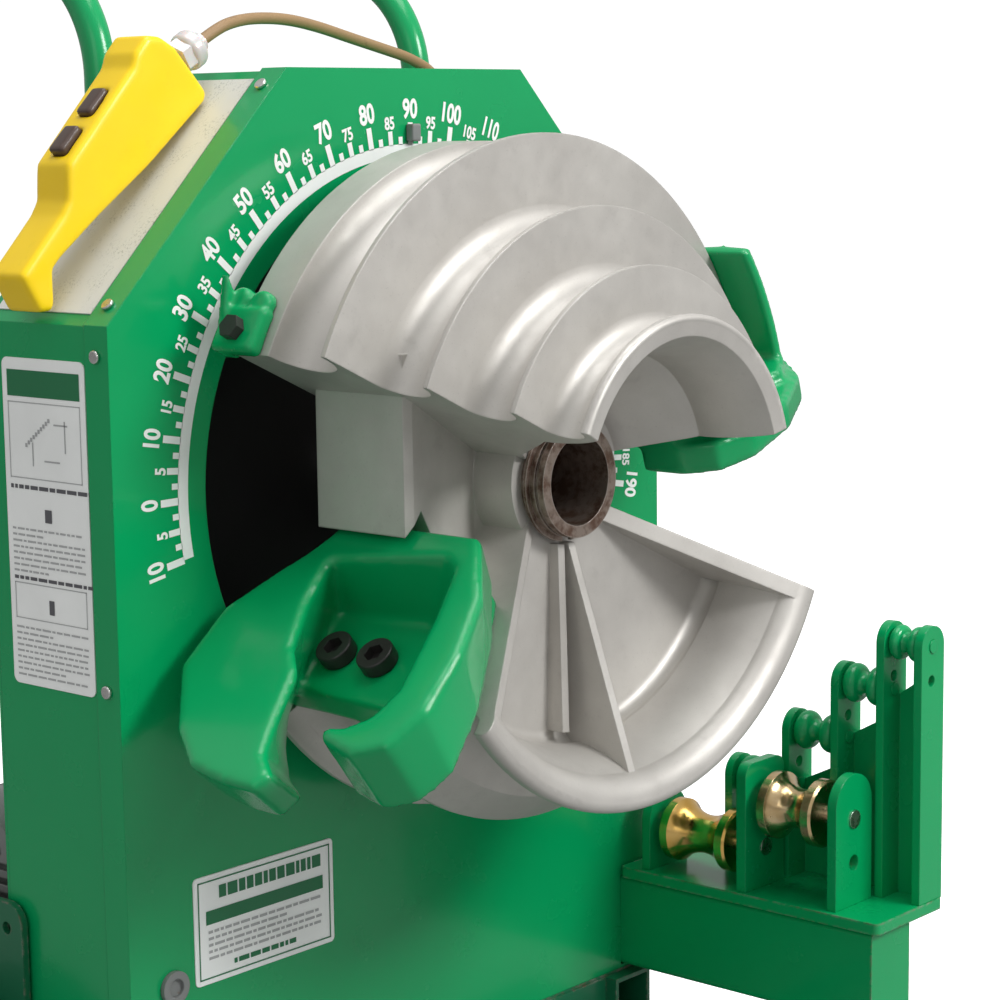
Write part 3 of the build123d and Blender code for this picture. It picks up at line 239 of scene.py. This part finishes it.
GREEN = (0.0006, 0.315, 0.098)
MAT = {
    "green": enamel("green_enamel", GREEN, wear=0.0),
    "green_worn": enamel("green_enamel_worn", GREEN, wear=0.75),
    "green_cast": enamel("green_enamel_cast", GREEN, wear=0.12, roughness=0.22, bevel=0.004),
    # A darker, duller copy of the green enamel: painted shade for the base frame and side brackets low under
    # the housing; the chips at its edges are wear.
    "green_shaded": enamel("green_enamel_shaded", (0.006, 0.13, 0.055), wear=0.5, roughness=0.38),
    "black": enamel("black_paint", (0.012, 0.0115, 0.012), roughness=0.55),
    "shoe": cast("cast_shoe", (0.46, 0.44, 0.41), (0.56, 0.54, 0.505), metallic=0.45),
    "rusty": rusty("worn_steel"),
    "steel": metal("bright_steel", (0.42, 0.41, 0.40), (0.58, 0.57, 0.56), 0.32, turned=1),
    "zinc": metal("zinc", (0.50, 0.49, 0.46), (0.70, 0.69, 0.67), 0.26),
    "brass": metal("brass", (0.60, 0.42, 0.20), (0.78, 0.62, 0.38), 0.20, turned=1),
    "brass_gold": metal("brass_gold", (0.72, 0.43, 0.10), (0.85, 0.57, 0.20), 0.18, turned=1),
    "bolt": enamel("black_oxide", (0.022, 0.020, 0.019), roughness=0.42, bevel=0.0008),
    "grey": enamel("grey_paint", (0.20, 0.21, 0.205), wear=0.2, roughness=0.42),
    "tyre": plastic("tyre", (0.030, 0.029, 0.028), 0.62, 0.3, grain=0.2),
    "hub": enamel("hub_grey", (0.33, 0.34, 0.34), roughness=0.4),
    "yellow": plastic("pendant_yellow", (0.98, 0.66, 0.0), 0.40, 0.10, coat=0.06),
    "button": plastic("button_brown", (0.060, 0.033, 0.024), 0.40, 0.3, coat=0.2),
    "nylon": plastic("gland_nylon", (0.62, 0.60, 0.60), 0.22, 0.12, coat=0.4, subsurface=0.25),
    "cord": plastic("cord_tan", (0.30, 0.185, 0.085), 0.55, 0.65, grain=0.25),
    "dark": plastic("dark_plastic", (0.030, 0.030, 0.030), 0.5, 0.2),
    "white": plastic("label_white", (0.93, 0.95, 0.93), 0.38, 0.03, grain=0.03),
    "print": plastic("dial_white", (0.86, 0.89, 0.86), 0.42, 0.04, grain=0.03),
    "plate": speckled("chart_plate", (0.66, 0.68, 0.66), (0.40, 0.43, 0.42)),
    "print_green": plastic("label_green", (0.004, 0.16, 0.055), 0.38, 0.05, grain=0.03),
    "print_grey": plastic("label_grey", (0.42, 0.43, 0.43), 0.45, 0.1, grain=0.03),
    "print_dark": plastic("label_dark", (0.10, 0.10, 0.11), 0.45, 0.1, grain=0.03),
}

USED = {
    "green": "housing_shell front_cover rear_cover control_box pointer_bracket green_uprights brass_uprights "
             "push_handle handle_clamps green_pins green_roller_1 green_roller_2 green_roller_3 "
             "green_roller_4",
    "green_cast": "hook_a hook_b",
    "green_worn": "support_arm roller_base",
    # The base frame and side brackets take the darker green copy, painted shade under the housing.
    "green_shaded": "base_frame side_brackets",
    "black": "recess_pan",
    "zinc": "cover_screws brass_pins axle caster_plates left_caster_fork right_caster_fork",
    "plate": "chart_plate",
    "white": "instruction_labels",
    "grey": "face_fittings gearbox motor fan_cowl",
    "steel": "shaft_bearings shaft_key drive_sprocket drive_chain drive_pinion",
    "rusty": "main_shaft retaining_ring",
    "shoe": "bending_shoe",
    "bolt": "shoe_bolts",
    "dark": "power_inlet left_caster_wheel right_caster_wheel",
    "nylon": "cord_gland pendant_gland",
    "tyre": "left_tyre right_tyre",
    "hub": "left_wheel_hub right_wheel_hub",
    "brass": "brass_roller_2",
    "brass_gold": "brass_roller_1",
    "yellow": "pendant_front_shell pendant_rear_shell",
    "button": "bend_button unload_button",
    "cord": "pendant_cord pendant_cord_coil pendant_cord_tail",
}


def dress(obj, material):
    obj.data.materials.clear()
    obj.data.materials.append(material)


for key, names in USED.items():
    for name in names.split():
        dress(node(name), MAT[key])


# ---- mesh helpers ----
def piece(name, mesh, body, material):
    obj = bpy.data.objects.new(name, mesh)
    bpy.context.scene.collection.objects.link(obj)
    dress(obj, material)
    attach(obj, body)
    return obj


# ---- castings and mouldings ----
def rounded_mesh(name, sources, voxel, passes):
    """The joined CAD solids, remeshed and relaxed so that every edge is as round as on a casting."""
    joined = bmesh.new()
    for source in sources:
        joined.from_mesh(node(source).data)
    mesh = bpy.data.meshes.new(name)
    joined.to_mesh(mesh)
    joined.free()
    obj = bpy.data.objects.new(name, mesh)
    bpy.context.scene.collection.objects.link(obj)
    remesh = obj.modifiers.new("remesh", "REMESH")
    remesh.mode = "VOXEL"
    remesh.voxel_size = voxel
    relax = obj.modifiers.new("relax", "SMOOTH")
    relax.iterations = passes
    relax.factor = 0.5
    thin = obj.modifiers.new("thin", "DECIMATE")
    thin.ratio = 0.45
    evaluated = obj.evaluated_get(bpy.context.evaluated_depsgraph_get())
    made = bpy.data.meshes.new_from_object(evaluated)
    bpy.data.objects.remove(obj)
    bpy.data.meshes.remove(mesh)
    made.polygons.foreach_set("use_smooth", [True] * len(made.polygons))
    return made


def make_rounded(name, sources, body, material, voxel, passes):
    obj = piece(name, rounded_mesh(name, sources, voxel, passes), body, MAT[material])
    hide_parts(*sources)


make_rounded("hook_a_casting", ["hook_a"], "shoe", "green_cast", 0.0030, 8)
make_rounded("hook_b_casting", ["hook_b"], "shoe", "green_cast", 0.0030, 6)
make_rounded("pointer_casting", ["pointer_bracket"], "shoe", "green_cast", 0.0015, 5)
make_rounded("pendant_body", ["pendant_front_shell", "pendant_rear_shell"], "chassis", "yellow",
             0.0018, 12)
for button in ("bend_button", "unload_button"):
    make_rounded(f"{button}_cap", [button], f"{button}_body", "button", 0.0012, 10)


# ---- cord ----
CORD_START = (-149.45, 82, 341.26)
CORD_ROUTE = [(-132.5, 82, 351), (-112, 85, 357.5), (-80, 93, 361.5), (-34, 104, 362.0), (12, 114, 357),
              (58, 123, 349), (105, 131, 341), (150, 138, 333), (190, 146, 320), (216, 158, 296),
              (228, 172, 262),
              (230, 188, 228), (230, 210, 196), (226, 238, 168), (214, 268, 149), (190, 292, 138),
              (157, 302, 133)]
COIL_CENTRE = (110.0, 240.0)
TAIL_ROUTE = [(48, 208, 123.5), (48, 188, 130.0), (48, 168, 134.0)]
TURN_STEPS = 16


def coil_points():
    """Three turns wound inwards on top, then three outwards below, stepping over in a short stretch."""
    points = []
    radii = [62.0, 52.5, 43.0, 43.0, 52.5, 62.0]
    heights = [132.25] * 3 + [122.75] * 3
    for turn in range(6):
        for step in range(TURN_STEPS):
            angle = 90 + 360 * step / TURN_STEPS
            over = max(0.0, (step - TURN_STEPS + 4) / 4)
            after = min(turn + 1, 5)
            radius = radii[turn] + (radii[after] - radii[turn]) * over
            height = heights[turn] + (heights[after] - heights[turn]) * over
            points.append((COIL_CENTRE[0] + radius * cos(radians(angle)),
                           COIL_CENTRE[1] + radius * sin(radians(angle)), height))
    for angle in (90.0, 112.5, 135.0, 157.5, 180.0):
        points.append((COIL_CENTRE[0] + 62.0 * cos(radians(angle)),
                       COIL_CENTRE[1] + 62.0 * sin(radians(angle)), 122.75))
    return points


def make_cord():
    route = [CORD_START] + CORD_ROUTE + coil_points() + TAIL_ROUTE
    curve = bpy.data.curves.new("pendant_lead", "CURVE")
    curve.dimensions = "3D"
    curve.bevel_depth = CORD_D / 2
    curve.bevel_resolution = 5
    curve.resolution_u = 8
    curve.use_fill_caps = True
    spline = curve.splines.new("NURBS")
    spline.points.add(len(route) - 1)
    for slot, point in zip(spline.points, route):
        slot.co = (*at(*point), 1.0)
    spline.order_u = 3
    spline.use_endpoint_u = True
    cord = bpy.data.objects.new("pendant_lead", curve)
    bpy.context.scene.collection.objects.link(cord)
    curve.materials.append(MAT["cord"])
    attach(cord, "chassis")
    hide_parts("pendant_cord", "pendant_cord_coil", "pendant_cord_tail")
    return cord


make_cord()


# ---- printed dial ----
BAND_R = (250.0, 260.0)
BAND_STEP = 2
TICKS = ((277.0, 5.6), (271.0, 5.0), (266.0, 4.6))      # outer radius and width: long, middle, short
LARGE_NUMERAL = (16.5, 8.6, 288.0)                      # height, width of a digit, radius
SMALL_NUMERAL = (10.5, 5.6, 277.5)
PRINT_LIFT = 0.35


def flat_mesh(name, quads, y):
    mesh = bpy.data.meshes.new(name)
    verts, faces = [], []
    for quad in quads:
        faces.append(list(range(len(verts), len(verts) + len(quad))))
        verts += [at(px, y, pz) for px, pz in quad]
    mesh.from_pydata(verts, [], faces)
    return mesh


def dial_point(radius, angle):
    """Angle in the dial's degrees: 0 at the left, 90 at the top."""
    return (-radius * cos(radians(angle)), radius * sin(radians(angle)))


def make_dial_marks():
    quads = []
    for a in range(-10, 190, BAND_STEP):
        b = a + BAND_STEP
        quads.append([dial_point(BAND_R[0], a), dial_point(BAND_R[0], b),
                      dial_point(BAND_R[1], b), dial_point(BAND_R[1], a)])
    for k in range(81):
        angle = -10 + 2.5 * k
        outer, width = TICKS[0] if k % 4 == 0 else TICKS[1] if k % 2 == 0 else TICKS[2]
        along = Vector(dial_point(1, angle))
        across = Vector((-along[1], along[0])) * width / 2
        low, high = along * (BAND_R[1] - 0.5), along * outer
        quads.append([tuple(low - across), tuple(low + across), tuple(high + across), tuple(high - across)])
    mesh = flat_mesh("dial_marks", quads, -PRINT_LIFT)
    return piece("dial_marks", mesh, "chassis", MAT["print"])


def text_mesh(text, height, width):
    """A numeral as a flat mesh, drawn to a height and to a width for each digit."""
    curve = bpy.data.curves.new("numeral", "FONT")
    curve.body = text
    curve.align_x = "CENTER"
    curve.offset = 0.034
    curve.resolution_u = 4
    obj = bpy.data.objects.new("numeral", curve)
    mesh = bpy.data.meshes.new_from_object(obj)
    bpy.data.objects.remove(obj)
    bpy.data.curves.remove(curve)
    xs = [v.co.x for v in mesh.vertices]
    ys = [v.co.y for v in mesh.vertices]
    narrow = sum(0.62 if c == "1" else 1.0 for c in text)
    across = width * narrow / (max(xs) - min(xs))
    up = height / (max(ys) - min(ys))
    middle_x, middle_y = (max(xs) + min(xs)) / 2, (max(ys) + min(ys)) / 2
    for v in mesh.vertices:
        v.co = ((v.co.x - middle_x) * across, (v.co.y - middle_y) * up, 0.0)
    return mesh


def make_dial_numbers():
    joined = bmesh.new()
    for angle in range(-10, 195, 5):
        large = angle % 10 == 0
        height, width, radius = LARGE_NUMERAL if large else SMALL_NUMERAL
        mesh = text_mesh(str(abs(angle)), height, width)
        x, z = dial_point(radius, angle)
        lean = radians(angle - 90)
        turn = Matrix.Rotation(lean, 4, "Y") @ Matrix.Rotation(pi / 2, 4, "X") @ Matrix.Scale(0.001, 4)
        mesh.transform(Matrix.Translation(at(x, -PRINT_LIFT, z)) @ turn)
        joined.from_mesh(mesh)
        bpy.data.meshes.remove(mesh)
    mesh = bpy.data.meshes.new("dial_numbers")
    joined.to_mesh(mesh)
    joined.free()
    return piece("dial_numbers", mesh, "chassis", MAT["print"])


make_dial_marks()
make_dial_numbers()


# ---- printed labels ----
SIDE_LABEL = {"left": 125.0, "right": 29.0, "face": -321.3}
FRONT_LABEL = {"left": -258.0, "right": -108.0, "face": -1.3}


def label_quad(side, across0, across1, low, high):
    """A printed rectangle's corners, on the side label (across is y) or the front one (x)."""
    if side:
        return [at(SIDE_LABEL["face"], y, z) for y, z in
                ((across0, low), (across1, low), (across1, high), (across0, high))]
    return [at(x, FRONT_LABEL["face"], z) for x, z in
            ((across0, low), (across1, low), (across1, high), (across0, high))]


def print_mesh(name, side, boxes, material):
    verts, faces = [], []
    for box in boxes:
        faces.append(list(range(len(verts), len(verts) + 4)))
        verts += label_quad(side, *box)
    mesh = bpy.data.meshes.new(name)
    mesh.from_pydata(verts, [], faces)
    return piece(name, mesh, "chassis", MAT[material])


def outline(left, right, low, high, line=0.8):
    step = line if right > left else -line
    return [(left, right, low, low + line), (left, right, high - line, high),
            (left, left + step, low, high), (right - step, right, low, high)]


def text_rows(draw, left, right, top, bottom, pitch, height):
    """Rows of word-long bars, about one row in five cut short at random."""
    boxes = []
    sign = 1 if right > left else -1
    z = top
    while z - height > bottom:
        along, end = 0.0, abs(right - left) * (1.0 if draw.random() < 0.8 else draw.uniform(0.4, 0.8))
        while along < end - 3.0:
            word = min(draw.uniform(3.0, 11.0), end - along)
            boxes.append((left + sign * along, left + sign * (along + word), z - height, z))
            along += word + 1.6
        z -= pitch
    return boxes


def make_side_print():
    draw = random.Random(7)
    left, right = SIDE_LABEL["left"] - 6, SIDE_LABEL["right"] + 6
    print_mesh("side_label_header", True, [(left, right, 78, 98)], "print_green")
    lines = outline(left, right, 16, 74) + outline(left, right, -92, -64)
    lines += [(100 - 3.0 * k, 97.5 - 3.0 * k, 40 + 2.2 * k, 43 + 2.2 * k) for k in range(10)]
    lines += [(78, 60, 30, 31.2), (66, 50, 58, 59.2), (92, 90.8, 26, 44), (54, 52.8, 38, 62)]
    lines += text_rows(draw, left, right, -22, -57, 4.6, 1.5)
    lines += text_rows(draw, left, right, -98, -138, 4.6, 1.5)
    print_mesh("side_label_text", True, lines, "print_grey")
    bold = text_rows(draw, left, right - 14, 11, 7, 9, 3.0)
    bold += text_rows(draw, left, right - 22, -59, -63, 9, 2.6)
    bold += [(80, 72, -16, -6), (79, 73, -86, -75)]
    print_mesh("side_label_bold", True, bold, "print_dark")


def make_front_print():
    draw = random.Random(11)
    left, right = FRONT_LABEL["left"], FRONT_LABEL["right"]
    green = outline(left + 4, right - 4, -374, -296, 1.2) + [(left + 12, right - 12, -331, -320)]
    green += text_rows(draw, left + 26, right - 14, -302, -314, 20, 10.0)
    green += text_rows(draw, left + 40, right - 40, -364, -370, 9, 4.0)
    print_mesh("front_label_green", False, green, "print_green")
    grey = text_rows(draw, left + 14, right - 14, -336, -360, 5.2, 2.2)
    print_mesh("front_label_text", False, grey, "print_grey")


make_side_print()
make_front_print()


# ---- stage ----
def make_stage():
    mesh = bpy.data.meshes.new("floor")
    mesh.from_pydata([(-30, -30, 0), (30, -30, 0), (30, 30, 0), (-30, 30, 0)], [], [(0, 1, 2, 3)])
    floor = bpy.data.objects.new("floor", mesh)
    bpy.context.scene.collection.objects.link(floor)
    n = Nodes("floor")
    seen = n.tree.nodes.new("ShaderNodeLightPath").outputs["Is Camera Ray"]
    tone = n.remap(n.noise(3.0, 3), 0.3, 0.7, 0.46, 0.50)
    pale = n.mix(seen, n.mix(tone, (0.20, 0.20, 0.20), (0.45, 0.45, 0.45)), (0.92, 0.92, 0.92))
    material = n.finish(pale, 0.8)
    n.put(n.shader.inputs["Emission Color"], (1, 1, 1, 1))
    n.put(n.shader.inputs["Emission Strength"], n.math("MULTIPLY", seen, 0.55))
    floor.data.materials.append(material)


def area_light(name, place, target, size, power, colour=(1.0, 1.0, 1.0)):
    data = bpy.data.lights.new(name, "AREA")
    data.shape = "RECTANGLE"
    data.size, data.size_y = size
    data.energy = power
    data.color = colour
    light = bpy.data.objects.new(name, data)
    light.location = place
    light.rotation_euler = (Vector(target) - Vector(place)).to_track_quat("-Z", "Y").to_euler()
    bpy.context.scene.collection.objects.link(light)


def make_lights():
    world = bpy.data.worlds.new("studio")
    world.use_nodes = True
    tree = world.node_tree
    strength = tree.nodes.new("ShaderNodeMapRange")
    strength.inputs["To Min"].default_value = 0.56
    strength.inputs["To Max"].default_value = 1.05
    seen = tree.nodes.new("ShaderNodeLightPath").outputs["Is Camera Ray"]
    tree.links.new(seen, strength.inputs["Value"])
    tree.nodes["Background"].inputs["Color"].default_value = (1.0, 1.0, 1.0, 1.0)
    tree.links.new(strength.outputs["Result"], tree.nodes["Background"].inputs["Strength"])
    bpy.context.scene.world = world
    area_light("key", (1.0, -3.2, 2.7), (0, -0.1, 0.7), (1.3, 1.0), 105)
    area_light("fill", (-3.2, -1.6, 1.8), (0, 0, 0.7), (1.5, 2.0), 8)
    area_light("top", (0.2, -0.4, 3.6), (0, 0, 0.5), (2.0, 2.0), 52)


make_stage()
make_lights()
bpy.context.scene.view_settings.view_transform = "Standard"
